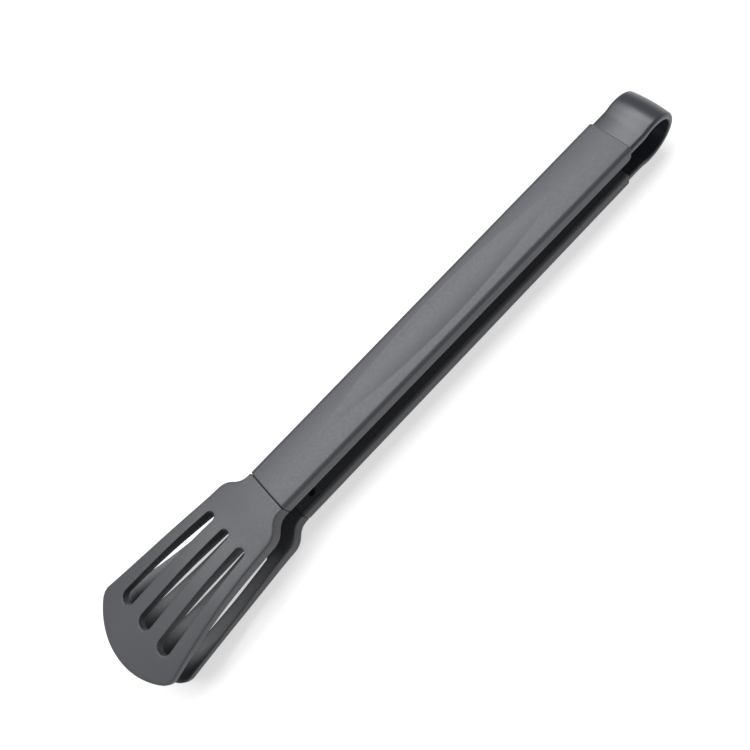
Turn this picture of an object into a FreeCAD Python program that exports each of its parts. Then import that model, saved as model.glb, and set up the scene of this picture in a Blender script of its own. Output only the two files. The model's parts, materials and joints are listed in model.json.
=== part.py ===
"""Spring loaded kitchen tongs: two hollow moulded arms on a sprung bow, each with a slotted turner head.

The tongs lie on the outer face of the lower arm. X runs from the blade tips to the bow, Y is the width,
Z is up. Each arm is drawn in its own frame: X = 0 at the seam between head and arm, Z = 0 on the arm's
outer face and Z growing towards the other arm. The upper arm is the same set of pieces, turned over.
"""
import FreeCAD, Part
import Sketcher
import math
import os

DRIVING_SIZES = [
    # alias, millimetres or degrees, what it is
    ("arm_width", 21.6, "width of an arm"),
    ("arm_depth", 9.3, "depth of an arm, outer face to inner face"),
    ("arm_reach", 199.0, "seam to the step where the bow leaves the arm"),
    ("arm_lean", 0.52, "degrees that each arm leans away from the middle plane"),
    ("outer_wall", 1.7, "thickness of the shell behind its outer face"),
    ("end_wall", 2.0, "thickness of the shell's wall beside the bow"),
    ("cavity_width", 16.4, "inside width of the shell"),
    ("outer_edge_radius", 1.8, "rounding of the arm's outer edges"),
    ("inner_edge_radius", 1.8, "rounding of the arm's inner edges"),
    ("cover_width", 17.4, "width of the inner cover"),
    ("cover_depth", 1.6, "thickness of the inner cover"),
    ("cover_gap", 0.1, "clearance round the inner cover"),
    ("recess_centre", 100.0, "seam to the middle of the thumb recess"),
    ("recess_reach", 65.0, "half the length of the thumb recess"),
    ("recess_half_width", 6.4, "half the width of the thumb recess"),
    ("recess_fall", 0.75, "depth of the thumb recess at its middle"),
    ("blade_reach", 90.3, "seam to the tip of the blade"),
    ("blade_half_width", 24.7, "half the width of the blade at its widest"),
    ("blade_shoulder", 16.7, "half the width of the blade beside the neck"),
    ("side_hollow", 0.85, "how far the blade's flared side bends in from a straight line"),
    ("neck_inset", 0.4, "how far the neck lies inside the arm's surface"),
    ("neck_reach", 1.0, "seam to the start of the neck's double curve"),
    ("shoulder_reach", 14.5, "seam to the end of the neck's double curve"),
    ("corner_radius", 6.5, "rounding of the blade's two corners"),
    ("tip_radius", 34.0, "radius of the blade's front edge"),
    ("crown_radius", 170.0, "radius of both faces across the blade"),
    ("slot_near", 24.1, "seam to the slots' narrow ends, at their arc centres"),
    ("slot_far", 70.8, "seam to the slots' wide ends, at their arc centres"),
    ("slot_near_radius", 2.2, "half the slots' width at the narrow end"),
    ("slot_far_radius", 3.6, "half the slots' width at the wide end"),
    ("slot_draft", 2.5, "degrees that the slots' walls close in with depth"),
    ("slot_near_pitch", 10.2, "distance between slots at the narrow end"),
    ("slot_far_pitch", 13.1, "distance between slots at the wide end"),
    ("tang_reach", 24.0, "length of the tang inside the arm"),
    ("tang_width", 16.0, "width of the tang"),
    ("tang_low", 3.7, "outer face of the arm to the tang"),
    ("tang_depth", 2.4, "thickness of the tang"),
    ("head_screw_place", 9.5, "seam to the two screws that hold the head"),
    ("head_screw_spread", 5.8, "half the distance between those two screws"),
    ("tail_screw_place", 184.0, "seam to the screw beside the bow"),
    ("screw_tip", 1.5, "outer face of the arm to the screw's tip"),
    ("screw_seat", 6.6, "outer face of the arm to the underside of the screw's head"),
    ("screw_shank_radius", 0.95, "radius of the screw's shank"),
    ("screw_head_radius", 1.65, "radius of the screw's head"),
    ("screw_head_depth", 1.2, "height of the screw's head"),
    ("drive_bar", 0.48, "width of each bar of the screw's cross recess"),
    ("boss_radius", 2.2, "radius of the shell's screw bosses"),
    ("boss_gap", 0.1, "gap between a boss and the piece above it"),
    ("cup_radius", 2.3, "radius of the cover's screw cups"),
    ("cup_depth", 1.6, "how far a screw cup stands below the cover"),
    ("overlap", 0.2, "how far a fused post runs into its wall"),
    ("bore_clearance", 0.15, "radial clearance of a screw in the cover and the tang"),
    ("pilot_clearance", 0.05, "radial clearance drawn round the shank in its boss"),
    ("bow_width", 20.5, "width of the bow"),
    ("bow_radius", 13.6, "outer radius of the bow"),
    ("bow_centre_offset", 3.0, "hinge line to the centre of the bow's outer arc"),
    ("bow_leg_height", 12.4, "middle plane to the outer face of the bow's legs"),
    ("bow_leg_depth", 4.5, "thickness of the bow's legs"),
    ("bow_crest_depth", 4.1, "thickness of the bow where its round end starts"),
    ("bow_end_depth", 3.2, "thickness of the bow at its far end"),
    ("bow_bend", 3.6, "hinge line back to the end of the straight legs"),
    ("bow_step_gap", 0.2, "gap between the arm's end and the bow"),
    ("leaf_width", 15.0, "width of the leaf spring"),
    ("leaf_gauge", 0.8, "thickness of the leaf spring"),
    ("leaf_radius", 11.0, "outer radius of the leaf spring's bend"),
    ("leaf_centre_offset", 3.9, "hinge line to the centre of the leaf spring's bend"),
    ("leaf_reach", 40.0, "hinge line to the ends of the leaf spring's legs"),
    ("leaf_clearance", 0.05, "clearance of the leaf spring in the bow cover"),
    ("leaf_mouth_gap", 0.3, "clearance beside the leaf spring where it enters the arm"),
    ("leaf_hole_radius", 2.6, "radius of the leaf spring's hole round the tail screw's boss"),
    ("hinge_place", 209.8, "seam to the line that the arms turn about"),
    ("hinge_height", 13.9, "outer face of the arm to the line that the arms turn about"),
]

doc = FreeCAD.newDocument("tongs")
sheet = doc.addObject("Spreadsheet::Sheet", "Sizes")
for row, (alias, value, meaning) in enumerate(DRIVING_SIZES, start=1):
    sheet.set("A%d" % row, str(value))
    sheet.setAlias("A%d" % row, alias)
    sheet.set("B%d" % row, meaning)
doc.recompute()


def size(alias):
    """The number that the sheet holds under this alias."""
    return float(getattr(sheet, alias))


def vector(x, y, z):
    return FreeCAD.Vector(x, y, z)


def bind(thing, **expressions):
    """Bind properties of an object to the sheet's cells."""
    for name, expression in expressions.items():
        thing.setExpression(name.replace("__", "."), expression)


# ---------------------------------------------------------------- parametric building blocks

def block(name, along, width, depth, start, low):
    """A box across the middle of the arm: expressions for its length, width, depth, first X and lowest Z."""
    box = doc.addObject("Part::Box", name)
    bind(box, Length=along, Width=width, Height=depth)
    bind(box, Placement__Base__x=start, Placement__Base__y="-(%s) / 2" % width, Placement__Base__z=low)
    return box


def post(name, radius, height, place, spread, low):
    """A round post or hole along Z."""
    cylinder = doc.addObject("Part::Cylinder", name)
    bind(cylinder, Radius=radius, Height=height)
    bind(cylinder, Placement__Base__x=place, Placement__Base__y=spread, Placement__Base__z=low)
    return cylinder


def fuse(name, shapes):
    joined = doc.addObject("Part::MultiFuse", name)
    joined.Shapes = shapes
    return joined


def cut(name, base, tools):
    """The base with every tool taken away."""
    result = doc.addObject("Part::Cut", name)
    result.Base = base
    result.Tool = tools[0] if len(tools) == 1 else fuse(name + "_tools", tools)
    return result


SCREW_PLACES = [
    ("head_near", "Sizes.head_screw_place", "-Sizes.head_screw_spread"),
    ("head_far", "Sizes.head_screw_place", "Sizes.head_screw_spread"),
    ("tail", "Sizes.tail_screw_place", "0 * Sizes.head_screw_spread"),
]


# ---------------------------------------------------------------- the pieces of one arm

def rounded_bar(side):
    """The arm's outside form: a bar with two roundings along each pair of edges."""
    body = doc.addObject("PartDesign::Body", side + "_bar")
    plane = [f for f in body.Origin.OriginFeatures if f.Role == "YZ_Plane"][0]
    sketch = body.newObject("Sketcher::SketchObject", side + "_bar_section")
    sketch.AttachmentSupport = [(plane, "")]
    sketch.MapMode = "FlatFace"
    half, depth = size("arm_width") / 2, size("arm_depth")
    corners = [vector(-half, 0, 0), vector(half, 0, 0), vector(half, depth, 0), vector(-half, depth, 0)]
    for index in range(4):
        sketch.addGeometry(Part.LineSegment(corners[index], corners[(index + 1) % 4]), False)
    for index in range(4):
        sketch.addConstraint(Sketcher.Constraint("Coincident", index, 2, (index + 1) % 4, 1))
    sketch.addConstraint(Sketcher.Constraint("Horizontal", 2))
    for index in (1, 3):
        sketch.addConstraint(Sketcher.Constraint("Vertical", index))
    sketch.addConstraint(Sketcher.Constraint("PointOnObject", 0, 1, -1))
    sketch.addConstraint(Sketcher.Constraint("Symmetric", 0, 1, 0, 2, -2))
    width = sketch.addConstraint(Sketcher.Constraint("DistanceX", 0, 1, 0, 2, 2 * half))
    height = sketch.addConstraint(Sketcher.Constraint("DistanceY", 1, 1, 1, 2, depth))
    sketch.setExpression("Constraints[%d]" % width, "Sizes.arm_width")
    sketch.setExpression("Constraints[%d]" % height, "Sizes.arm_depth")
    pad = body.newObject("PartDesign::Pad", side + "_bar_pad")
    pad.Profile = sketch
    pad.setExpression("Length", "Sizes.arm_reach")
    doc.recompute()
    base = pad
    for tag, height, radius in (("outer", 0.0, "outer_edge_radius"), ("inner", depth, "inner_edge_radius")):
        names = long_edges_at(base.Shape, height)
        fillet = body.newObject("PartDesign::Fillet", "%s_bar_%s_rounding" % (side, tag))
        fillet.Base = (base, names)
        fillet.setExpression("Radius", "Sizes." + radius)
        doc.recompute()
        base = fillet
    return body


def long_edges_at(shape, height):
    """Names of the sharp edges that run the whole length of the arm at this height."""
    names = []
    for index, edge in enumerate(shape.Edges, start=1):
        box = edge.BoundBox
        at_height = abs(box.ZMin - height) < 1e-6 and abs(box.ZMax - height) < 1e-6
        if at_height and box.XLength > 0.9 * size("arm_reach"):
            if abs(abs(box.YMin) - size("arm_width") / 2) < 1e-6:
                names.append("Edge%d" % index)
    return names


def thumb_recess(side):
    """A shallow pointed lens: the space that two wide cones share."""
    outline_radius = "((Sizes.recess_reach ^ 2 + Sizes.recess_half_width ^ 2) / (2 * Sizes.recess_half_width))"
    cones = []
    for tag, sign in (("near", "-1"), ("far", "1")):
        cone = doc.addObject("Part::Cone", "%s_recess_%s" % (side, tag))
        bind(cone,
             Radius1=outline_radius + " + Sizes.recess_half_width",
             Radius2=outline_radius + " - Sizes.recess_half_width",
             Height="2 * Sizes.recess_fall",
             Placement__Base__x="Sizes.recess_centre",
             Placement__Base__y="%s * (%s - Sizes.recess_half_width)" % (sign, outline_radius),
             Placement__Base__z="-Sizes.recess_fall")
        cones.append(cone)
    lens = doc.addObject("Part::MultiCommon", side + "_recess")
    lens.Shapes = cones
    return lens


def arm_shell(side):
    """The outer shell: open towards the other arm, with bosses for the three screws."""
    hollow = block(side + "_hollow", "Sizes.arm_reach - Sizes.end_wall + 1", "Sizes.cavity_width",
                   "Sizes.arm_depth", "-1", "Sizes.outer_wall")
    cover_seat = block(side + "_cover_seat", "Sizes.arm_reach - Sizes.end_wall + 1",
                       "Sizes.cover_width + 2 * Sizes.cover_gap", "Sizes.arm_depth",
                       "-1", "Sizes.arm_depth - Sizes.cover_depth - Sizes.cover_gap")
    leaf_mouth = block(side + "_leaf_mouth", "3 * Sizes.end_wall",
                       "Sizes.leaf_width + 2 * Sizes.leaf_mouth_gap", "2 * Sizes.leaf_gauge",
                       "Sizes.arm_reach - 2 * Sizes.end_wall",
                       "Sizes.hinge_height - Sizes.leaf_radius - Sizes.overlap")
    open_shell = cut(side + "_open_shell", rounded_bar(side),
                     [hollow, cover_seat, leaf_mouth, thumb_recess(side)])
    bosses = []
    pilots = []
    for tag, place, spread in SCREW_PLACES:
        under_cup = "Sizes.arm_depth - Sizes.cover_depth - Sizes.cup_depth"
        ceiling = under_cup if tag == "tail" else "Sizes.tang_low"
        bosses.append(post("%s_%s_boss" % (side, tag), "Sizes.boss_radius",
                           "%s - Sizes.boss_gap - Sizes.outer_wall + Sizes.overlap" % ceiling,
                           place, spread, "Sizes.outer_wall - Sizes.overlap"))
        pilots.append(post("%s_%s_pilot" % (side, tag), "Sizes.screw_shank_radius + Sizes.pilot_clearance",
                           "Sizes.arm_depth", place, spread, "Sizes.screw_tip - Sizes.overlap"))
    return cut(side + "_arm_shell", fuse(side + "_bossed_shell", [open_shell] + bosses), pilots)


def inner_cover(side):
    """The flat plate that closes the shell, with a sunk cup for each screw."""
    plate = block(side + "_cover_plate", "Sizes.arm_reach - Sizes.end_wall - 2 * Sizes.cover_gap",
                  "Sizes.cover_width", "Sizes.cover_depth", "Sizes.cover_gap",
                  "Sizes.arm_depth - Sizes.cover_depth")
    cups = []
    holes = []
    for tag, place, spread in SCREW_PLACES:
        cups.append(post("%s_%s_cup" % (side, tag), "Sizes.cup_radius", "Sizes.cup_depth + Sizes.overlap",
                         place, spread,
                         "Sizes.arm_depth - Sizes.cover_depth - Sizes.cup_depth"))
        holes.append(post("%s_%s_well" % (side, tag), "Sizes.screw_head_radius + Sizes.bore_clearance",
                          "Sizes.arm_depth", place, spread, "Sizes.screw_seat"))
        holes.append(post("%s_%s_bore" % (side, tag), "Sizes.screw_shank_radius + Sizes.bore_clearance",
                          "Sizes.arm_depth", place, spread, "Sizes.tang_low"))
    return cut(side + "_inner_cover", fuse(side + "_cupped_plate", [plate] + cups), holes)


def screws(side, label, places):
    """Self-tapping screws with a cross recess; several of them are separate solids of one node."""
    pieces = []
    for tag, place, spread in places:
        name = "%s_%s" % (side, tag)
        shank = post(name + "_shank", "Sizes.screw_shank_radius",
                     "Sizes.screw_seat - Sizes.screw_tip + Sizes.screw_head_depth / 2", place, spread,
                     "Sizes.screw_tip")
        head = post(name + "_screw_head", "Sizes.screw_head_radius", "Sizes.screw_head_depth", place, spread,
                    "Sizes.screw_seat")
        bars = []
        whole, narrow = "(2 * Sizes.screw_shank_radius)", "Sizes.drive_bar"
        for way, length, width in (("along", whole, narrow), ("across", narrow, whole)):
            bar = doc.addObject("Part::Box", "%s_drive_%s" % (name, way))
            bind(bar, Length=length, Width=width, Height="Sizes.screw_head_depth",
                 Placement__Base__x="%s - %s / 2" % (place, length),
                 Placement__Base__y="%s - %s / 2" % (spread, width),
                 Placement__Base__z="Sizes.screw_seat + Sizes.screw_head_depth / 2")
            bars.append(bar)
        pieces.append(cut(name + "_screw", fuse(name + "_blank", [shank, head]), bars))
    if len(pieces) == 1:
        return pieces[0]
    group = doc.addObject("Part::Compound", side + "_" + label)
    group.Links = pieces
    return group


def blade_outline():
    """The blade seen from above: neck, shoulders, flared sides, rounded corners and a curved front edge."""
    reach, half, shoulder = size("blade_reach"), size("blade_half_width"), size("blade_shoulder")
    neck = size("arm_width") / 2 - size("neck_inset")
    neck_end, shoulder_start = -size("neck_reach"), -size("shoulder_reach")

    # the double curve is two equal arcs that meet half way
    run, rise = (neck_end - shoulder_start) / 2, (shoulder - neck) / 2
    bend_radius = (run ** 2 + rise ** 2) / (2 * rise)
    half_sweep = math.asin(run / bend_radius) / 2
    bulge = vector(-bend_radius * math.sin(half_sweep), bend_radius * (1 - math.cos(half_sweep)), 0)
    first = vector(neck_end, neck, 0)
    turn = vector(neck_end - run, neck + rise, 0)
    last = vector(shoulder_start, shoulder, 0)

    # each corner touches the side at its widest point and the front edge from within
    tip_radius, corner = size("tip_radius"), size("corner_radius")
    tip_centre = vector(tip_radius - reach, 0, 0)
    corner_y = half - corner
    corner_centre = vector(tip_centre.x - math.sqrt((tip_radius - corner) ** 2 - corner_y ** 2), corner_y, 0)
    outward = corner_centre - tip_centre
    outward.normalize()
    meet = corner_centre + outward * corner
    side_end = vector(corner_centre.x, half, 0)
    midway = vector(outward.x, outward.y + 1, 0)
    midway.normalize()

    side_middle = (last + side_end) * 0.5 - vector(0, size("side_hollow"), 0)
    half_edges = [
        Part.LineSegment(vector(0, neck, 0), first),
        Part.Arc(first, first + bulge, turn),
        Part.Arc(turn, last - bulge, last),
        Part.Arc(last, side_middle, side_end),
        Part.Arc(side_end, corner_centre + midway * corner, meet),
    ]
    edges = [edge.toShape() for edge in half_edges]
    mirrored = [edge.mirror(vector(0, 0, 0), vector(0, 1, 0)) for edge in edges]
    front = Part.Arc(meet, vector(-reach, 0, 0), vector(meet.x, -meet.y, 0)).toShape()
    back = Part.LineSegment(vector(0, neck, 0), vector(0, -neck, 0)).toShape()
    return Part.Wire(Part.__sortEdges__(edges + mirrored + [front, back]))


# how far along the blade, then the depths of its outer and inner face on the middle line, in millimetres
BLADE_STATIONS = [
    (0.0, 0.4, 8.9),
    (0.1, 0.45, 8.8),
    (0.22, 0.75, 8.5),
    (0.35, 0.8, 7.9),
    (0.48, 1.4, 7.5),
    (0.61, 2.75, 8.0),
    (0.74, 4.45, 9.1),
    (0.87, 6.35, 10.5),
    (1.0, 8.3, 11.9),
]


def blade_section(part, outer, inner):
    """One section across the blade: crowned outside, hollow inside, wider than the blade will be."""
    x = -part * size("blade_reach")
    half = size("blade_half_width") + 1
    crown_fall = half ** 2 / (2 * size("crown_radius"))
    left, right = vector(x, -half, outer + crown_fall), vector(x, half, outer + crown_fall)
    hollow = crown_fall * min(1, 4 * part)
    low_left, low_right = vector(x, -half, inner + hollow), vector(x, half, inner + hollow)
    edges = [
        Part.Arc(left, vector(x, 0, outer), right),
        Part.LineSegment(right, low_right),
        Part.Arc(low_right, vector(x, 0, inner), low_left) if hollow else Part.LineSegment(low_right, low_left),
        Part.LineSegment(low_left, left),
    ]
    return Part.Wire([edge.toShape() for edge in edges])


def slot_wire(pitch_count, height):
    """A slot's outline at this height: wider and further apart towards the tip, and round at both ends."""
    near = vector(-size("slot_near"), pitch_count * size("slot_near_pitch"), height)
    far = vector(-size("slot_far"), pitch_count * size("slot_far_pitch"), height)
    closing = height * math.tan(math.radians(size("slot_draft")))
    near_radius, far_radius = size("slot_near_radius") - closing, size("slot_far_radius") - closing
    along = far - near
    run = along.Length
    along.normalize()
    across = vector(-along.y, along.x, 0)
    lean = math.asin((far_radius - near_radius) / run)
    left = across * math.cos(lean) - along * math.sin(lean)
    right = across * -math.cos(lean) - along * math.sin(lean)
    edges = [
        Part.LineSegment(near + left * near_radius, far + left * far_radius).toShape(),
        Part.Arc(far + left * far_radius, far + along * far_radius, far + right * far_radius).toShape(),
        Part.LineSegment(far + right * far_radius, near + right * near_radius).toShape(),
        Part.Arc(near + right * near_radius, near - along * near_radius, near + left * near_radius).toShape(),
    ]
    return Part.Wire(edges)


def slot_shape(pitch_count):
    """One blade slot, a little narrower towards the inner face."""
    return Part.makeLoft([slot_wire(pitch_count, height) for height in (0, 2 * size("arm_depth"))], True, True)


def turner_head(side):
    """The slotted head: a curved wedge that ends in a flat tang inside the arm."""
    height = 3 * size("arm_depth")
    plan = Part.Face(blade_outline()).extrude(vector(0, 0, height))
    blade = Part.makeLoft([blade_section(*station) for station in BLADE_STATIONS], True).common(plan)
    for pitch_count in (-1, 0, 1):
        blade = blade.cut(slot_shape(pitch_count))
    root = 2 * size("neck_reach")
    tang = Part.makeBox(size("tang_reach") + root, size("tang_width"), size("tang_depth"),
                        vector(-root, -size("tang_width") / 2, size("tang_low")))
    head = blade.fuse(tang)
    for sign in (-1, 1):
        axis = vector(size("head_screw_place"), sign * size("head_screw_spread"), 0)
        head = head.cut(Part.makeCylinder(size("screw_shank_radius") + size("bore_clearance"), height, axis))
    piece = doc.addObject("Part::Feature", side + "_turner_head")
    piece.Shape = head.removeSplitter()
    return piece


# ---------------------------------------------------------------- the sprung bow, drawn about the hinge line

def bow_cover():
    """The moulded bow: two legs and a round end that thins out, slotted right through for the leaf."""
    start = size("arm_reach") + size("bow_step_gap") - size("hinge_place")
    bend = -size("bow_bend")
    centre, radius = size("bow_centre_offset"), size("bow_radius")
    outer_leg = size("bow_leg_height")
    inner_leg = outer_leg - size("bow_leg_depth")
    inner_height = radius - size("bow_crest_depth")
    inner_reach = centre + radius - size("bow_end_depth")

    def swell(sign, leg, crest):
        """A double curve from the straight leg up to the round end, level at both."""
        curve = Part.BezierCurve()
        middle = (bend + centre) / 2
        curve.setPoles([vector(bend, 0, sign * leg), vector(middle, 0, sign * leg),
                        vector(middle, 0, sign * crest), vector(centre, 0, sign * crest)])
        return curve

    def leg_edges(sign):
        return [
            Part.LineSegment(vector(start, 0, sign * outer_leg), vector(bend, 0, sign * outer_leg)),
            swell(sign, outer_leg, radius),
            Part.LineSegment(vector(start, 0, sign * inner_leg), vector(bend, 0, sign * inner_leg)),
            swell(sign, inner_leg, inner_height),
            Part.LineSegment(vector(start, 0, sign * outer_leg), vector(start, 0, sign * inner_leg)),
        ]

    curves = leg_edges(1) + leg_edges(-1)
    curves.append(Part.Arc(vector(centre, 0, radius), vector(centre + radius, 0, 0),
                           vector(centre, 0, -radius)))
    curves.append(Part.Arc(vector(centre, 0, inner_height), vector(inner_reach, 0, 0),
                           vector(centre, 0, -inner_height)))
    outline = Part.Wire(Part.__sortEdges__([curve.toShape() for curve in curves]))
    width = size("bow_width")
    band = Part.Face(outline).extrude(vector(0, width, 0))
    band.translate(vector(0, -width / 2, 0))
    return band.cut(leaf_strip(size("leaf_clearance"), 0))


def leaf_strip(clearance, hole_radius):
    """The U-shaped steel strip, or with a clearance the slot that it lies in."""
    centre, radius = size("leaf_centre_offset"), size("leaf_radius") + clearance
    gauge = size("leaf_gauge") + 2 * clearance
    width = size("leaf_width") + 2 * clearance
    reach = size("leaf_reach")

    def solid(outer_radius):
        tube = Part.makeCylinder(outer_radius, width, vector(centre, -width / 2, 0), vector(0, 1, 0))
        legs = Part.makeBox(reach + centre, width, 2 * outer_radius,
                            vector(-reach, -width / 2, -outer_radius))
        return tube.fuse(legs)

    strip = solid(radius).cut(solid(radius - gauge))
    if hole_radius:
        hole = Part.makeCylinder(hole_radius, 4 * radius,
                                 vector(size("tail_screw_place") - size("hinge_place"), 0, -2 * radius))
        strip = strip.cut(hole)
    return strip.removeSplitter()


def bow_piece(label, shape):
    piece = doc.addObject("Part::Feature", label)
    piece.Shape = shape
    return piece


# ---------------------------------------------------------------- placing the pieces

def lower_placement():
    """The lower arm lies flat, with the whole object centred on X = 0."""
    bow_end = size("hinge_place") + size("bow_centre_offset") + size("bow_radius")
    middle = (bow_end - size("blade_reach")) / 2
    return FreeCAD.Placement(vector(-middle, 0, 0), FreeCAD.Rotation())


def upper_placement():
    """The upper arm: turned over about the middle plane's own line through the hinge."""
    lean = math.radians(size("arm_lean"))
    hinge = vector(size("hinge_place"), 0, size("hinge_height"))
    middle_line = vector(math.cos(lean), 0, -math.sin(lean))
    turn = FreeCAD.Placement(vector(0, 0, 0), FreeCAD.Rotation(middle_line, 180), hinge)
    return lower_placement().multiply(turn)


def bow_placement():
    """The bow lies on the middle plane, about the hinge line."""
    hinge = vector(size("hinge_place"), 0, size("hinge_height"))
    tilt = FreeCAD.Placement(hinge, FreeCAD.Rotation(vector(0, 1, 0), size("arm_lean")))
    return lower_placement().multiply(tilt)


sub_parts = []


def keep(piece, label, placement):
    """Name a finished sub-part and put it in place."""
    piece.Label = label
    piece.Placement = placement
    sub_parts.append(piece)


for side, placement in (("lower", lower_placement()), ("upper", upper_placement())):
    keep(arm_shell(side), side + "_arm_shell", placement)
    keep(inner_cover(side), side + "_inner_cover", placement)
    keep(turner_head(side), side + "_turner_head", placement)
    keep(screws(side, "head_screws", SCREW_PLACES[:2]), side + "_head_screws", placement)
    keep(screws(side, "tail_screw", SCREW_PLACES[2:]), side + "_tail_screw", placement)

keep(bow_piece("bow", bow_cover()), "bow_cover", bow_placement())
keep(bow_piece("leaf", leaf_strip(0, size("leaf_hole_radius"))), "leaf_spring", bow_placement())

doc.recompute()

# ---------------------------------------------------------------- check the objects and write the sub-parts

for thing in doc.Objects:
    if "Invalid" in thing.State or "Error" in thing.State:
        raise RuntimeError("%s did not compute: %s" % (thing.Label, thing.State))

for piece in sub_parts:
    if piece.Shape.isNull() or not piece.Shape.isValid():
        raise RuntimeError("%s has no valid shape" % piece.Label)

os.makedirs("parts", exist_ok=True)
for piece in sub_parts:
    piece.Shape.exportStep(os.path.join("parts", piece.Label + ".step"))
    box = piece.Shape.BoundBox
    print("%-20s solids %d  volume %8.1f mm3  x %7.2f %7.2f  y %6.2f %6.2f  z %6.2f %6.2f" % (
        piece.Label, len(piece.Shape.Solids), piece.Shape.Volume,
        box.XMin, box.XMax, box.YMin, box.YMax, box.ZMin, box.ZMax))
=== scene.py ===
"""Looks of the spring loaded kitchen tongs: two moulded arms with slotted turner heads on a sprung bow.

Each piece is drawn in millimetres in the arm's own frame: X = 0 at the seam between head and arm, Z = 0 on
the arm's outer face and Z growing towards the other arm. The bow and its leaf spring are drawn about the
hinge line. place_lower, place_upper and place_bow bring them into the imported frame, in metres.
"""
import json
import math

import bmesh
import bpy
from mathutils import Matrix, Vector
from mathutils.geometry import delaunay_2d_cdt


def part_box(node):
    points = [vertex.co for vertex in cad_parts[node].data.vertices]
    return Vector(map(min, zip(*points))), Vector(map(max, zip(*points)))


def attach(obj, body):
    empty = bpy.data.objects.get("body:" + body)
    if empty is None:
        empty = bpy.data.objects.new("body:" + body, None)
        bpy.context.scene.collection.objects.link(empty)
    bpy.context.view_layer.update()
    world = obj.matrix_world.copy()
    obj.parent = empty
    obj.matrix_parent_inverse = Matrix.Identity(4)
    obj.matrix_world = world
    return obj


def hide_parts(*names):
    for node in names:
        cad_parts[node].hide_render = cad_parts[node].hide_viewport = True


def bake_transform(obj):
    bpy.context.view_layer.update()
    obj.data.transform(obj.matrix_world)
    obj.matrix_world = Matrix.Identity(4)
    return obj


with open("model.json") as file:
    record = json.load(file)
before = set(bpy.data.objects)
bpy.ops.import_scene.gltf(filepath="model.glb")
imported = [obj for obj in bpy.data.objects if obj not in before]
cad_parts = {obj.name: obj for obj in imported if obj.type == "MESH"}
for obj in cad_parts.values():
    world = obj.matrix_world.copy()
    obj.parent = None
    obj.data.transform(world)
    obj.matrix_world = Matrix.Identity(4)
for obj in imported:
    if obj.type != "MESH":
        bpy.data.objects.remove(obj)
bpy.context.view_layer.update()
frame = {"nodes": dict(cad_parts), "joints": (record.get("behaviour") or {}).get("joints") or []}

# ---------------------------------------------------------------- sizes, in millimetres

MM = 0.001
WELD_DISTANCE = 2e-6                    # metres
LEAN = math.radians(0.52)               # each arm leans this far away from the middle plane

shell_low, shell_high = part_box("lower_arm_shell")
seam_x = shell_low[0]                   # the seam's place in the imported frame, in metres
arm_reach = (shell_high[0] - shell_low[0]) / MM
arm_half = (shell_high[1] - shell_low[1]) / MM / 2
arm_depth = (shell_high[2] - shell_low[2]) / MM
hinge = Vector(frame["joints"][0]["pos_m"])

OUTER_ROUND = 2.0                       # rounding of the arm's outer edges
INNER_ROUND = 1.8                       # rounding of the arm's inner edges
ARM_CROWN = 0.45                        # how far the outer face falls from its middle to its edges
END_ROUND = 0.45                        # rounding of the arm's ends
STEP_ROUND = 2.0                        # rounding of the arm's inner corner beside the bow
SEAT_HALF, SEAT_DEPTH = 8.8, 1.7        # the step that the inner cover lies on
CAVITY_HALF, OUTER_WALL, END_WALL = 8.2, 1.7, 2.0
SEAM_GAP = 0.14                         # each piece stops this far from the seam

RECESS_CENTRE, RECESS_REACH, RECESS_HALF, RECESS_FALL = 100.0, 70.0, 6.5, 0.74
RECESS_MARGIN, RECESS_SOFTNESS = 4.0, 0.03
SHELL_STEPS, WALL_STEPS, FACE_STEPS, EDGE_STEPS = 240, 6, 26, 7
ON_MIDDLE = 1e-6                        # a point nearer than this to Y = 0 isn't mirrored

DRAWN_ARM_HALF = 10.8                   # the blade's widths below go with an arm of this half width
BLADE_HALF = arm_half * 24.6 / DRAWN_ARM_HALF
SHOULDER_HALF = arm_half * 16.6 / DRAWN_ARM_HALF
NECK_HALF = arm_half - 0.45
NECK_CORNER = 0.6                       # rounding of the neck's corners at the seam
BLADE_REACH = 90.2
NECK_REACH, SHOULDER_REACH = 1.0, 14.5  # the double curve from the neck out to the shoulder
SIDE_HOLLOW = 0.85
CORNER_RADIUS, TIP_RADIUS, CROWN_RADIUS = 6.5, 34.0, 170.0
SLOT_NEAR, SLOT_FAR = 24.1, 70.8
SLOT_NEAR_RADIUS, SLOT_FAR_RADIUS = 2.2, 3.6
SLOT_DRAFT = math.tan(math.radians(2.5))
SLOT_NEAR_PITCH, SLOT_FAR_PITCH = 10.2, 13.1
SLOT_TURN_STEPS, SLOT_SIDE_STEP = 16, 1.5
BLADE_EDGE, SLOT_EDGE, SEAM_EDGE = 0.8, 0.35, 0.3
SEAM_EDGE_END, BLADE_EDGE_START = 0.6, 5.0      # between these the seam's rounding grows to the blade's
MOST_ROUNDING = 0.42                    # no edge is rounded by more than this part of the thickness
# part of the blade's reach, then the depth of its outer and of its inner face on the middle line
BLADE_STATIONS = [
    (0.0, 0.45, 8.85),
    (0.1, 0.5, 8.75),
    (0.22, 0.8, 8.45),
    (0.35, 0.85, 7.85),
    (0.48, 1.45, 7.45),
    (0.61, 2.8, 7.95),
    (0.74, 4.5, 9.05),
    (0.87, 6.4, 10.45),
    (1.0, 8.35, 11.8),
]
GRID_SPACING, GRID_START, GRID_ROWS = 1.6, 0.8, 16      # points inside the blade's two faces
SAME_SPOT = 1e-7
TANG_REACH, TANG_HALF, TANG_LOW, TANG_DEPTH = 23.9, 7.9, 3.75, 2.3
TANG_START, TANG_BEVEL = -3.0, 0.4

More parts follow.
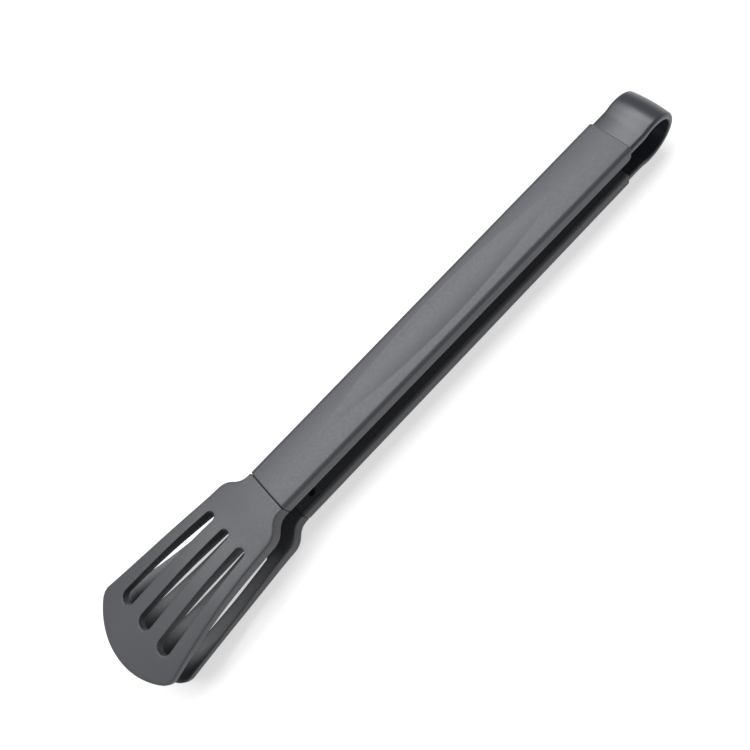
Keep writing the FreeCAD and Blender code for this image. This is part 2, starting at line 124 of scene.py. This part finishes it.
BOW_HALF = 10.25
HINGE_REACH = 209.8                     # from the seam to the hinge line
BOW_START = arm_reach + 0.25 - HINGE_REACH
BOW_BEND, BOW_CENTRE, BOW_RADIUS = -3.6, 3.0, 13.55
BOW_LEG_OUTER, BOW_LEG_INNER, BOW_CREST_INNER, BOW_INNER_REACH = 12.35, 7.95, 9.55, 13.45
BOW_CROWN, BOW_OUTER_ROUND, BOW_INNER_ROUND, BOW_END_INSET = 0.45, 1.3, 0.7, 0.3
BOW_LEG_STEPS, BOW_SWELL_STEPS, BOW_TURN_STEPS = 13, 14, 30
BOW_OUTER_STEPS, BOW_INNER_STEPS = 12, 6
LEAF_HALF, LEAF_RADIUS, LEAF_GAUGE, LEAF_CENTRE, LEAF_REACH = 7.45, 10.98, 0.76, 3.9, 39.8
LEAF_ROUND, LEAF_LEG_STEPS, LEAF_TURN_STEPS = 0.15, 28, 24


def blend_value(low, high, t):
    return low + (high - low) * t


def smooth_step(low, high, value):
    t = min(1.0, max(0.0, (value - low) / (high - low)))
    return t * t * (3 - 2 * t)


# ---------------------------------------------------------------- from a piece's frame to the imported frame

def place_lower(p):
    return Vector((seam_x + p[0] * MM, p[1] * MM, p[2] * MM))


MIDDLE_LINE = Vector((math.cos(LEAN), 0, -math.sin(LEAN)))
TURN_OVER = Matrix.Rotation(math.pi, 3, MIDDLE_LINE)


def place_upper(p):
    return hinge + TURN_OVER @ (place_lower(p) - hinge)


BOW_TILT = Matrix.Rotation(LEAN, 3, "Y")


def place_bow(p):
    return hinge + BOW_TILT @ (Vector(p) * MM)


def make_piece(name, points, faces, place, material, crease=40):
    """A smooth-shaded mesh from points in a piece's own frame, with its normals turned outwards."""
    mesh = bpy.data.meshes.new(name)
    mesh.from_pydata([place(p) for p in points], [], faces)
    mesh.materials.append(material)
    work = bmesh.new()
    work.from_mesh(mesh)
    bmesh.ops.remove_doubles(work, verts=work.verts, dist=WELD_DISTANCE)
    bmesh.ops.recalc_face_normals(work, faces=work.faces)
    work.to_mesh(mesh)
    work.free()
    piece = bpy.data.objects.new(name, mesh)
    bpy.context.scene.collection.objects.link(piece)
    mesh.shade_smooth()
    mesh.set_sharp_from_angle(angle=math.radians(crease))
    return piece


def skin(sections, capped=True):
    """Points and quads through closed sections that all have the same number of points."""
    count = len(sections[0])
    points = [p for section in sections for p in section]
    faces = []
    for i in range(len(sections) - 1):
        for j in range(count):
            k = (j + 1) % count
            faces.append((i * count + j, i * count + k, (i + 1) * count + k, (i + 1) * count + j))
    if capped:
        faces.append(tuple(range(count)))
        faces.append(tuple((len(sections) - 1) * count + j for j in range(count)))
    return points, faces


# ---------------------------------------------------------------- materials

def nodes_of(name):
    material = bpy.data.materials.new(name)
    material.use_nodes = True
    nodes, links = material.node_tree.nodes, material.node_tree.links
    return material, nodes, links, nodes["Principled BSDF"]


def noise(nodes, links, coordinates, scale, detail):
    texture = nodes.new("ShaderNodeTexNoise")
    texture.inputs["Scale"].default_value = scale
    texture.inputs["Detail"].default_value = detail
    links.new(coordinates.outputs["Object"], texture.inputs["Vector"])
    return texture


def ranged(nodes, links, source, low, high):
    """The source's 0 to 1 brought to low to high."""
    node = nodes.new("ShaderNodeMapRange")
    node.inputs["To Min"].default_value = low
    node.inputs["To Max"].default_value = high
    links.new(source, node.inputs["Value"])
    return node.outputs["Result"]


SINK_FLAT, SINK_RIM = 1.1, 2.1          # a sink mark's radius, in millimetres, at its floor and at its rim


def moulded_nylon(name, colour, roughness, grain, gloss, sink_marks=()):
    """Dark nylon: fine grain, faint cloudiness, paler convex edges that are partly rubbed wear and partly a
    painted highlight and, where asked for, shallow sink marks.
    """
    material, nodes, links, shader = nodes_of(name)
    coordinates = nodes.new("ShaderNodeTexCoord")
    fine = noise(nodes, links, coordinates, scale=2600.0, detail=2.0)
    cloud = noise(nodes, links, coordinates, scale=55.0, detail=4.0)
    speck = noise(nodes, links, coordinates, scale=900.0, detail=5.0)

    tint = nodes.new("ShaderNodeMix")
    tint.data_type = "RGBA"
    tint.inputs["A"].default_value = (*[c * 0.88 for c in colour], 1)
    tint.inputs["B"].default_value = (*[c * 1.12 for c in colour], 1)
    links.new(cloud.outputs["Fac"], tint.inputs["Factor"])

    # convex edges are mixed towards a paler colour: partly rubbed wear, partly a painted highlight
    geometry = nodes.new("ShaderNodeNewGeometry")
    wear_and_highlight = nodes.new("ShaderNodeMapRange")
    wear_and_highlight.inputs["From Min"].default_value = 0.53
    wear_and_highlight.inputs["From Max"].default_value = 0.62
    wear_and_highlight.inputs["To Max"].default_value = 0.25
    links.new(geometry.outputs["Pointiness"], wear_and_highlight.inputs["Value"])
    edge = nodes.new("ShaderNodeMix")
    edge.data_type = "RGBA"
    edge.inputs["B"].default_value = (*[min(1.0, c * 2.2) for c in colour], 1)
    links.new(wear_and_highlight.outputs["Result"], edge.inputs["Factor"])
    links.new(tint.outputs["Result"], edge.inputs["A"])
    links.new(edge.outputs["Result"], shader.inputs["Base Color"])

    links.new(ranged(nodes, links, speck.outputs["Fac"], roughness - 0.07, roughness + 0.07),
              shader.inputs["Roughness"])
    shader.inputs["Specular IOR Level"].default_value = gloss

    grain_bump = nodes.new("ShaderNodeBump")
    grain_bump.inputs["Strength"].default_value = grain
    grain_bump.inputs["Distance"].default_value = 0.04 * MM
    links.new(fine.outputs["Fac"], grain_bump.inputs["Height"])
    last = grain_bump
    for place in sink_marks:
        distance = nodes.new("ShaderNodeVectorMath")
        distance.operation = "DISTANCE"
        distance.inputs[1].default_value = place
        links.new(coordinates.outputs["Object"], distance.inputs[0])
        dish = nodes.new("ShaderNodeMapRange")
        dish.interpolation_type = "SMOOTHSTEP"
        dish.inputs["From Min"].default_value = SINK_FLAT * MM
        dish.inputs["From Max"].default_value = SINK_RIM * MM
        links.new(distance.outputs["Value"], dish.inputs["Value"])
        bump = nodes.new("ShaderNodeBump")
        bump.inputs["Strength"].default_value = 0.45
        bump.inputs["Distance"].default_value = 0.12 * MM
        links.new(dish.outputs["Result"], bump.inputs["Height"])
        links.new(last.outputs["Normal"], bump.inputs["Normal"])
        last = bump
    links.new(last.outputs["Normal"], shader.inputs["Normal"])
    return material


def brushed_steel(name, colour, roughness, stretch):
    """Steel with fine marks that run along one axis."""
    material, nodes, links, shader = nodes_of(name)
    coordinates = nodes.new("ShaderNodeTexCoord")
    mapping = nodes.new("ShaderNodeMapping")
    mapping.inputs["Scale"].default_value = stretch
    links.new(coordinates.outputs["Object"], mapping.inputs["Vector"])
    marks = nodes.new("ShaderNodeTexNoise")
    marks.inputs["Scale"].default_value = 1500.0
    links.new(mapping.outputs["Vector"], marks.inputs["Vector"])
    shader.inputs["Base Color"].default_value = (*colour, 1)
    shader.inputs["Metallic"].default_value = 1.0
    links.new(ranged(nodes, links, marks.outputs["Fac"], roughness - 0.1, roughness + 0.1),
              shader.inputs["Roughness"])
    bump = nodes.new("ShaderNodeBump")
    bump.inputs["Strength"].default_value = 0.6
    bump.inputs["Distance"].default_value = 0.02 * MM
    links.new(marks.outputs["Fac"], bump.inputs["Height"])
    links.new(bump.outputs["Normal"], shader.inputs["Normal"])
    return material


SINK_REACH, SINK_SPREAD, SINK_DEPTH = 10.7, 5.8, 0.1     # one mark on each arm's outer face
sink_places = [place_lower((SINK_REACH, -SINK_SPREAD, SINK_DEPTH)),
               place_upper((SINK_REACH, SINK_SPREAD, SINK_DEPTH))]
arm_nylon = moulded_nylon("arm_nylon", colour=(0.033, 0.034, 0.041), roughness=0.46, grain=0.25, gloss=0.38,
                          sink_marks=sink_places)
cover_nylon = moulded_nylon("cover_nylon", colour=(0.034, 0.035, 0.039), roughness=0.6, grain=0.3, gloss=0.38)
head_nylon = moulded_nylon("head_nylon", colour=(0.038, 0.039, 0.044), roughness=0.5, grain=0.3, gloss=0.38)
# the bow is darker than the arms: partly its own tone, partly painted shade for the dim surroundings that its
# far end faces
bow_nylon = moulded_nylon("bow_nylon", colour=(0.021, 0.022, 0.028), roughness=0.31, grain=0.2, gloss=0.3)
screw_steel = brushed_steel("screw_steel", colour=(0.09, 0.09, 0.095), roughness=0.42, stretch=(1, 1, 1))
spring_steel = brushed_steel("spring_steel", colour=(0.55, 0.55, 0.56), roughness=0.3, stretch=(0.05, 1, 1))


# ---------------------------------------------------------------- arms

def recess_depth(x, y):
    """A shallow dish between two arcs, with a softened rim."""
    arc = (RECESS_REACH ** 2 + RECESS_HALF ** 2) / (2 * RECESS_HALF)
    along = x - RECESS_CENTRE
    if abs(along) > RECESS_REACH + RECESS_MARGIN:
        return 0.0
    half = math.sqrt(arc * arc - along * along) - (arc - RECESS_HALF)
    dish = RECESS_FALL * (half * abs(half) - y * y) / RECESS_HALF ** 2
    return 0.5 * (dish + math.sqrt(dish * dish + RECESS_SOFTNESS * RECESS_SOFTNESS))


def arc_points(centre, radius, start, end, steps):
    """Points of an arc in the Y-Z plane, angles in degrees from +Y towards +Z."""
    angles = [math.radians(blend_value(start, end, i / steps)) for i in range(steps + 1)]
    return [(centre[0] + radius * math.cos(a), centre[1] + radius * math.sin(a)) for a in angles]


def arm_outer_half(x, depth):
    """Half of the arm's outline, from the middle of the outer face round to the inner face."""
    flat = arm_half - OUTER_ROUND
    half = []
    for i in range(FACE_STEPS):
        y = flat * i / FACE_STEPS
        half.append((y, ARM_CROWN * (y / flat) ** 2 + recess_depth(x, y)))
    half += arc_points((flat, ARM_CROWN + OUTER_ROUND), OUTER_ROUND, -90, 0, EDGE_STEPS)
    half += arc_points((arm_half - INNER_ROUND, depth - INNER_ROUND), INNER_ROUND, 0, 90, EDGE_STEPS)
    return half


def shrink(outline, inset, depth):
    """Draw an outline in towards the arm's middle line."""
    across, along = 1 - inset / arm_half, 1 - 2 * inset / depth
    return [(y * across, depth / 2 + (z - depth / 2) * along) for y, z in outline]


def both_halves(half):
    """A closed outline from the half with positive Y, whose first and last points may lie on the middle."""
    mirrored = [(-y, z) for y, z in reversed(half) if y > ON_MIDDLE]
    return half + mirrored


def end_insets(start, end):
    """Places and insets that round off both ends of an arm."""
    turns = [math.radians(a) for a in (0, 25, 50, 75, 90)]
    first = [(start + END_ROUND * (1 - math.sin(t)), END_ROUND * (1 - math.cos(t))) for t in reversed(turns)]
    last = [(end - END_ROUND * (1 - math.sin(t)), END_ROUND * (1 - math.cos(t))) for t in turns]
    return first, last


def arm_shell(name, place):
    """The open shell, and the wall that closes it beside the bow."""
    seat = arm_depth - SEAT_DEPTH
    cavity = [(SEAT_HALF, arm_depth), (SEAT_HALF, seat), (CAVITY_HALF, seat), (CAVITY_HALF, OUTER_WALL),
              (0, OUTER_WALL)]
    first, last = end_insets(SEAM_GAP, arm_reach)
    wall_start = arm_reach - END_WALL
    start = first[-1][0]
    run = wall_start - start
    stations = first + [(start + run * i / SHELL_STEPS, 0) for i in range(1, SHELL_STEPS + 1)]
    sections = []
    for x, inset in stations:
        outline = shrink(arm_outer_half(x, arm_depth), inset, arm_depth)
        half = outline + cavity
        loop = half + [(-y, z) for y, z in reversed(half[1:-1])]
        sections.append([(x, y, z) for y, z in loop])
    points, faces = skin(sections)
    shell_count = len(points)

    sections = []
    wall_run = last[0][0] - wall_start
    steps = [(wall_start + wall_run * i / WALL_STEPS, 0) for i in range(WALL_STEPS + 1)] + last[1:]
    for x, inset in steps:
        past = max(0.0, x - (arm_reach - STEP_ROUND))
        depth = arm_depth - (STEP_ROUND - math.sqrt(max(0.0, STEP_ROUND ** 2 - past ** 2)))
        half = shrink(arm_outer_half(x, depth), inset, depth)
        sections.append([(x, y, z) for y, z in both_halves(half)])
    wall_points, wall_faces = skin(sections)
    points += wall_points
    faces += [tuple(i + shell_count for i in face) for face in wall_faces]
    return make_piece(name, points, faces, place, arm_nylon)


# ---------------------------------------------------------------- heads

def station_value(part, column):
    """A smooth curve through the blade's stations."""
    rows = BLADE_STATIONS
    i = next((k for k in range(len(rows) - 1) if part <= rows[k + 1][0]), len(rows) - 2)
    before, after = rows[max(0, i - 1)], rows[min(len(rows) - 1, i + 2)]
    here, there = rows[i], rows[i + 1]
    step = there[0] - here[0]
    t = (part - here[0]) / step
    slope_here = (there[column] - before[column]) / (there[0] - before[0]) * step
    slope_there = (after[column] - here[column]) / (after[0] - here[0]) * step
    return ((2 * t ** 3 - 3 * t ** 2 + 1) * here[column] + (t ** 3 - 2 * t ** 2 + t) * slope_here
            + (3 * t ** 2 - 2 * t ** 3) * there[column] + (t ** 3 - t ** 2) * slope_there)


def blade_outer(x, y):
    return station_value(-x / BLADE_REACH, 1) + y * y / (2 * CROWN_RADIUS)


def blade_inner(x, y):
    part = -x / BLADE_REACH
    return station_value(part, 2) + y * y / (2 * CROWN_RADIUS) * min(1.0, max(0.0, 4 * part))


def arc_through(first, middle, last, steps):
    """Points on the circle through three points, from the first to the last, without the first."""
    (ax, ay), (bx, by), (cx, cy) = first, middle, last
    a_squared, b_squared, c_squared = ax * ax + ay * ay, bx * bx + by * by, cx * cx + cy * cy
    d = 2 * (ax * (by - cy) + bx * (cy - ay) + cx * (ay - by))
    ux = (a_squared * (by - cy) + b_squared * (cy - ay) + c_squared * (ay - by)) / d
    uy = (a_squared * (cx - bx) + b_squared * (ax - cx) + c_squared * (bx - ax)) / d
    radius = math.hypot(ax - ux, ay - uy)
    start = math.atan2(ay - uy, ax - ux)
    sweep = (math.atan2(cy - uy, cx - ux) - start + math.pi) % (2 * math.pi) - math.pi
    angles = [start + sweep * i / steps for i in range(1, steps + 1)]
    return [(ux + radius * math.cos(a), uy + radius * math.sin(a)) for a in angles]


def blade_outline():
    """The blade seen from above, as one closed loop."""
    start, stop = -NECK_REACH, -SHOULDER_REACH
    run, rise = (start - stop) / 2, (SHOULDER_HALF - NECK_HALF) / 2
    radius = (run ** 2 + rise ** 2) / (2 * rise)
    half_sweep = math.asin(run / radius) / 2
    bulge = (-radius * math.sin(half_sweep), radius * (1 - math.cos(half_sweep)))
    turn = (start - run, NECK_HALF + rise)
    last = (stop, SHOULDER_HALF)

    tip_centre = TIP_RADIUS - BLADE_REACH
    corner_y = BLADE_HALF - CORNER_RADIUS
    corner_x = tip_centre - math.sqrt((TIP_RADIUS - CORNER_RADIUS) ** 2 - corner_y ** 2)
    out_x, out_y = corner_x - tip_centre, corner_y
    out = math.hypot(out_x, out_y)
    meet = (corner_x + out_x / out * CORNER_RADIUS, corner_y + out_y / out * CORNER_RADIUS)
    mid_x, mid_y = out_x / out, out_y / out + 1
    mid = math.hypot(mid_x, mid_y)
    corner_middle = (corner_x + mid_x / mid * CORNER_RADIUS, corner_y + mid_y / mid * CORNER_RADIUS)
    side_end = (corner_x, BLADE_HALF)
    side_middle = ((last[0] + side_end[0]) / 2, (last[1] + side_end[1]) / 2 - SIDE_HOLLOW)

    pull = NECK_CORNER * 0.29           # about 1 - cos 45 degrees, for the middle of the rounded corner
    half = arc_through((-SEAM_GAP, NECK_HALF - NECK_CORNER), (-SEAM_GAP - pull, NECK_HALF - pull),
                       (-SEAM_GAP - NECK_CORNER, NECK_HALF), steps=4)
    seam = [(-SEAM_GAP, y) for y in (2.5, 5.0, 7.5, NECK_HALF - NECK_CORNER)]
    half = seam + half
    half.append((start, NECK_HALF))
    half += arc_through((start, NECK_HALF), (start + bulge[0], NECK_HALF + bulge[1]), turn, steps=8)
    half += arc_through(turn, (last[0] - bulge[0], last[1] - bulge[1]), last, steps=8)
    half += arc_through(last, side_middle, side_end, steps=40)
    half += arc_through(side_end, corner_middle, meet, steps=12)
    tip_middle = (-BLADE_REACH + meet[1] ** 2 / 8 / TIP_RADIUS, meet[1] / 2)
    half += arc_through(meet, tip_middle, (-BLADE_REACH, 0), steps=18)
    mirrored = [(x, -y) for x, y in reversed(half[:-1])]
    return [(-SEAM_GAP, 0.0)] + half + mirrored


def slot_outline(count):
    """One slot: wider towards the tip, with round ends and straight sides."""
    near = Vector((-SLOT_NEAR, count * SLOT_NEAR_PITCH))
    far = Vector((-SLOT_FAR, count * SLOT_FAR_PITCH))
    along = (far - near).normalized()
    across = Vector((-along.y, along.x))
    lean = math.asin((SLOT_FAR_RADIUS - SLOT_NEAR_RADIUS) / (far - near).length)
    quarter = math.pi / 2
    ends = [(far, SLOT_FAR_RADIUS, quarter + lean, -quarter - lean),
            (near, SLOT_NEAR_RADIUS, -quarter - lean, -3 * quarter + lean)]
    points = []
    for centre, radius, first, last in ends:
        for i in range(SLOT_TURN_STEPS + 1):
            angle = blend_value(first, last, i / SLOT_TURN_STEPS)
            points.append(centre + along * (radius * math.cos(angle)) + across * (radius * math.sin(angle)))
    sides = []
    for i, point in enumerate(points):
        after = points[(i + 1) % len(points)]
        gap = (after - point).length
        steps = max(1, round(gap / SLOT_SIDE_STEP))
        sides += [tuple(point.lerp(after, k / steps)) for k in range(steps)]
    return sides


def inward_normals(loop, turn):
    """For each point of a loop, the direction into the blade. turn is +1 or -1 for the loop's sense."""
    normals = []
    count = len(loop)
    for i in range(count):
        before, here, after = (Vector(loop[(i + k) % count]) for k in (-1, 0, 1))
        one = (here - before).normalized()
        two = (after - here).normalized()
        normal = Vector((-one.y - two.y, one.x + two.x)).normalized()
        normals.append(normal * turn / max(0.5, normal.dot(Vector((-one.y, one.x)))))
    return normals


def signed_area(loop):
    return sum(a[0] * b[1] - b[0] * a[1] for a, b in zip(loop, loop[1:] + loop[:1])) / 2


def turner_head(name, place):
    """The blade's two faces, its rounded edge and slot walls, and the flat tang inside the arm."""
    outline = blade_outline()
    slots = [slot_outline(count) for count in (-1, 0, 1)]
    points, faces = [], []
    rims = {"outer": [], "inner": []}
    turns = [math.radians(a) for a in (0, 18, 36, 54, 72, 90)]

    for kind, loop in [("edge", outline)] + [("slot", slot) for slot in slots]:
        sense = 1 if signed_area(loop) > 0 else -1
        normals = inward_normals(loop, sense if kind == "edge" else -sense)
        rings = []
        for face in ("outer", "inner"):
            order = turns if face == "outer" else list(reversed(turns))
            for angle in order:
                ring = []
                for (x, y), normal in zip(loop, normals):
                    thickness = blade_inner(x, y) - blade_outer(x, y)
                    if kind == "slot":
                        radius = SLOT_EDGE
                    else:
                        grown = smooth_step(SEAM_EDGE_END, BLADE_EDGE_START, -x)
                        radius = blend_value(SEAM_EDGE, BLADE_EDGE, grown)
                    radius = min(radius, MOST_ROUNDING * thickness)
                    inset = radius * (1 - math.sin(angle))
                    drop = radius * (1 - math.cos(angle))
                    depth = blade_outer(x, y) + drop if face == "outer" else blade_inner(x, y) - drop
                    if kind == "slot":
                        inset -= SLOT_DRAFT * depth
                    px, py = x + normal.x * inset, y + normal.y * inset
                    px = min(px, -SEAM_GAP)
                    if face == "outer":
                        ring.append((px, py, blade_outer(px, py) + drop))
                    else:
                        ring.append((px, py, blade_inner(px, py) - drop))
                rings.append(ring)
        count = len(loop)
        base = len(points)
        for ring in rings:
            points += ring
        for i in range(len(rings) - 1):
            for j in range(count):
                k = (j + 1) % count
                faces.append((base + i * count + j, base + i * count + k,
                              base + (i + 1) * count + k, base + (i + 1) * count + j))
        rims["outer"].append([base + j for j in range(count)])
        rims["inner"].append([base + (len(rings) - 1) * count + j for j in range(count)])

    for face in ("outer", "inner"):
        fill_face(points, faces, rims[face], face)
    add_tang(points, faces)
    return make_piece(name, points, faces, place, head_nylon)


def fill_face(points, faces, rims, face):
    """Triangles between a face's rims, with a regular grid inside so that the face keeps its curves."""
    flat, source, edges = [], [], []
    for rim in rims:
        first = len(flat)
        for i, index in enumerate(rim):
            flat.append(Vector(points[index][:2]))
            source.append(index)
            edges.append((first + i, first + (i + 1) % len(rim)))
    rim_count = len(flat)
    for i in range(int(BLADE_REACH / GRID_SPACING)):
        for j in range(-GRID_ROWS, GRID_ROWS + 1):
            spot = Vector((-GRID_START - i * GRID_SPACING, j * GRID_SPACING))
            if inside_blade(spot, rims, points):
                flat.append(spot)
                source.append(None)
    spots, _, triangles, origins, _, _ = delaunay_2d_cdt(flat, edges, [], 0, SAME_SPOT)
    numbers = []
    for spot, origin in zip(spots, origins):
        known = [source[k] for k in origin if k < rim_count]
        if known:
            numbers.append(known[0])
        else:
            height = blade_outer(spot.x, spot.y) if face == "outer" else blade_inner(spot.x, spot.y)
            numbers.append(len(points))
            points.append((spot.x, spot.y, height))
    for triangle in triangles:
        middle = sum((spots[k] for k in triangle), Vector((0, 0))) / 3
        if inside_blade(middle, rims, points, margin=0.0):
            faces.append(tuple(numbers[k] for k in triangle))


def inside_blade(spot, rims, points, margin=0.5):
    """True inside the first rim and outside the others, clear of every rim by the margin."""
    for number, rim in enumerate(rims):
        crossings = 0
        for i, index in enumerate(rim):
            ax, ay = points[index][:2]
            bx, by = points[rim[(i + 1) % len(rim)]][:2]
            if (ay > spot.y) != (by > spot.y):
                if ax + (spot.y - ay) / (by - ay) * (bx - ax) > spot.x:
                    crossings += 1
            if margin and math.hypot(ax - spot.x, ay - spot.y) < margin:
                return False
        if (crossings % 2 == 1) != (number == 0):
            return False
    return True


def add_tang(points, faces):
    """A flat bar with softened corners, from inside the neck to inside the arm."""
    half = [(TANG_HALF - TANG_BEVEL, 0), (TANG_HALF, TANG_BEVEL), (TANG_HALF, TANG_DEPTH - TANG_BEVEL),
            (TANG_HALF - TANG_BEVEL, TANG_DEPTH)]
    loop = half + [(-y, z) for y, z in reversed(half)]
    sections = [[(x, y, TANG_LOW + z) for y, z in loop] for x in (TANG_START, 0, TANG_REACH)]
    tang_points, tang_faces = skin(sections)
    base = len(points)
    points += tang_points
    faces += [tuple(i + base for i in face) for face in tang_faces]


# ---------------------------------------------------------------- bow and leaf spring

def bezier(a, b, c, d, t):
    s = 1 - t
    return s ** 3 * a + 3 * s * s * t * b + 3 * s * t * t * c + t ** 3 * d


def bow_half_path():
    """Pairs of outer and inner points in the X-Z plane, from the end of a leg to the far end of the bow."""
    pairs = []
    for i in range(BOW_LEG_STEPS):
        x = blend_value(BOW_START, BOW_BEND, i / BOW_LEG_STEPS)
        pairs.append(((x, BOW_LEG_OUTER), (x, BOW_LEG_INNER)))
    middle = (BOW_BEND + BOW_CENTRE) / 2
    for i in range(BOW_SWELL_STEPS):
        t = i / BOW_SWELL_STEPS
        x = bezier(BOW_BEND, middle, middle, BOW_CENTRE, t)
        pairs.append(((x, bezier(BOW_LEG_OUTER, BOW_LEG_OUTER, BOW_RADIUS, BOW_RADIUS, t)),
                      (x, bezier(BOW_LEG_INNER, BOW_LEG_INNER, BOW_CREST_INNER, BOW_CREST_INNER, t))))
    inner_run = BOW_INNER_REACH - BOW_CENTRE
    inner_radius = (inner_run ** 2 + BOW_CREST_INNER ** 2) / (2 * inner_run)
    inner_centre = BOW_INNER_REACH - inner_radius
    inner_start = math.atan2(BOW_CREST_INNER, BOW_CENTRE - inner_centre)
    for i in range(BOW_TURN_STEPS + 1):
        t = i / BOW_TURN_STEPS
        outer_angle, inner_angle = math.pi / 2 * (1 - t), inner_start * (1 - t)
        outer = (BOW_CENTRE + BOW_RADIUS * math.cos(outer_angle), BOW_RADIUS * math.sin(outer_angle))
        inner = (inner_centre + inner_radius * math.cos(inner_angle), inner_radius * math.sin(inner_angle))
        pairs.append((outer, inner))
    return pairs


def whole_path(half):
    """A path on both sides of the middle plane, from the lower leg round to the upper leg."""
    lower = [tuple((x, -z) for x, z in pair) for pair in half[:-1]]
    return lower + list(reversed(half))


def bow_section(thickness, inset):
    """The bow's section as (across, depth from the outer face): crowned outside and rounded at its edges."""
    flat = BOW_HALF - BOW_OUTER_ROUND
    half = []
    for i in range(BOW_OUTER_STEPS):
        y = flat * i / BOW_OUTER_STEPS
        half.append((y, BOW_CROWN * (y / flat) ** 2))
    half += arc_points((flat, BOW_CROWN + BOW_OUTER_ROUND), BOW_OUTER_ROUND, -90, 0, steps=6)
    inner_flat = BOW_HALF - BOW_INNER_ROUND
    half += arc_points((inner_flat, thickness - BOW_INNER_ROUND), BOW_INNER_ROUND, 0, 90, steps=5)
    half += [(inner_flat * (1 - i / BOW_INNER_STEPS), thickness) for i in range(1, BOW_INNER_STEPS + 1)]
    across, deep = 1 - inset / BOW_HALF, 1 - 2 * inset / thickness
    half = [(y * across, thickness / 2 + (d - thickness / 2) * deep) for y, d in half]
    return half + [(-y, d) for y, d in reversed(half[1:-1])]


def bow_cover():
    path = whole_path(bow_half_path())
    sections = []
    for i, ((ox, oz), (ix, iz)) in enumerate(path):
        thickness = math.hypot(ox - ix, oz - iz)
        inset = BOW_END_INSET if i in (0, len(path) - 1) else 0.0
        section = []
        for y, d in bow_section(thickness, inset):
            part = d / thickness
            section.append((blend_value(ox, ix, part), y, blend_value(oz, iz, part)))
        sections.append(section)
    points, faces = skin(sections)
    return make_piece("bow_moulding", points, faces, place_bow, bow_nylon)


def leaf_spring():
    """The steel strip: two straight legs inside the arms and a round bend inside the bow."""
    half = []
    for i in range(LEAF_LEG_STEPS):
        x = blend_value(-LEAF_REACH, LEAF_CENTRE, i / LEAF_LEG_STEPS)
        half.append(((x, LEAF_RADIUS), (x, LEAF_RADIUS - LEAF_GAUGE)))
    for i in range(LEAF_TURN_STEPS + 1):
        angle = math.pi / 2 * (1 - i / LEAF_TURN_STEPS)
        half.append(tuple((LEAF_CENTRE + r * math.cos(angle), r * math.sin(angle))
                          for r in (LEAF_RADIUS, LEAF_RADIUS - LEAF_GAUGE)))
    narrow = LEAF_HALF - LEAF_ROUND
    edge = [(0, narrow), (0.2, LEAF_HALF), (0.8, LEAF_HALF), (1, narrow)]    # part of the gauge, then Y
    loop = edge + [(part, -y) for part, y in reversed(edge)]
    sections = []
    for (ox, oz), (ix, iz) in whole_path(half):
        sections.append([(blend_value(ox, ix, part), y, blend_value(oz, iz, part)) for part, y in loop])
    points, faces = skin(sections)
    return make_piece("leaf_strip", points, faces, place_bow, spring_steel)


# ---------------------------------------------------------------- build the pieces and hang them on the frame

for side, place in (("lower", place_lower), ("upper", place_upper)):
    shell = arm_shell(side + "_arm_moulding", place)
    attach(shell, side + "_arm")
    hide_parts(side + "_arm_shell")
    head = turner_head(side + "_turner_moulding", place)
    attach(head, side + "_arm")
    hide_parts(side + "_turner_head")

sprung = [(bow_cover(), "bow_cover", "bow_nylon"), (leaf_spring(), "leaf_spring", "spring_steel")]
for piece, node, slot in sprung:
    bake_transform(piece)
    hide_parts(node)

for node, thing in frame["nodes"].items():
    kind = node.split("_", 1)[1]
    material = {"inner_cover": cover_nylon, "head_screws": screw_steel, "tail_screw": screw_steel}.get(kind)
    if material:
        thing.data.materials.clear()
        thing.data.materials.append(material)


# ---------------------------------------------------------------- floor, light and camera

def glowing_white():
    """A matt white panel that gives off some light of its own, so that shadows on it stay pale."""
    material, _, _, shader = nodes_of("floor_white")
    shader.inputs["Base Color"].default_value = (0.32, 0.32, 0.32, 1)
    shader.inputs["Roughness"].default_value = 0.9
    shader.inputs["Emission Color"].default_value = (1, 1, 1, 1)
    shader.inputs["Emission Strength"].default_value = 0.6
    return material


FLOOR_HALF, FLOOR_Z = 8.0, -0.0002          # metres: the floor lies just under the part


def floor():
    corners = [(x * FLOOR_HALF, y * FLOOR_HALF, FLOOR_Z) for x, y in ((-1, -1), (1, -1), (1, 1), (-1, 1))]
    mesh = bpy.data.meshes.new("floor")
    mesh.from_pydata(corners, [], [(0, 1, 2, 3)])
    mesh.materials.append(glowing_white())
    plane = bpy.data.objects.new("floor", mesh)
    bpy.context.scene.collection.objects.link(plane)


def soft_light(name, place, aim, length, width, watts):
    light = bpy.data.lights.new(name, "AREA")
    light.shape = "RECTANGLE"
    light.size = length
    light.size_y = width
    light.energy = watts
    lamp = bpy.data.objects.new(name, light)
    lamp.location = place
    lamp.rotation_euler = (Vector(aim) - Vector(place)).to_track_quat("-Z", "Y").to_euler()
    bpy.context.scene.collection.objects.link(lamp)


floor()
# the aim is a hair off straight down, which settles how the lamp is turned
soft_light("top_light", place=(0.5, 1.0, 3.0), aim=(0.5, 0.9999, 0), length=4.0, width=1.33, watts=205)

world = bpy.data.worlds.new("studio")
world.use_nodes = True
world.node_tree.nodes["Background"].inputs["Color"].default_value = (0.95, 0.97, 1.0, 1)
world.node_tree.nodes["Background"].inputs["Strength"].default_value = 0.45
bpy.context.scene.world = world
bpy.context.scene.view_settings.view_transform = "Standard"

CAMERA_PLACE = (-0.01078, -0.11739, 0.29131)
CAMERA_TURN = (18.105, 16.582, -43.896)     # degrees about X, Y and Z
CAMERA_LENS, CAMERA_SENSOR = 34.57, 36      # millimetres
camera = bpy.data.cameras.new("camera")
camera.lens = CAMERA_LENS
camera.sensor_width = CAMERA_SENSOR
camera.clip_start = 0.01
eye = bpy.data.objects.new("camera", camera)
eye.location = CAMERA_PLACE
eye.rotation_euler = [math.radians(a) for a in CAMERA_TURN]
bpy.context.scene.collection.objects.link(eye)
bpy.context.scene.camera = eye
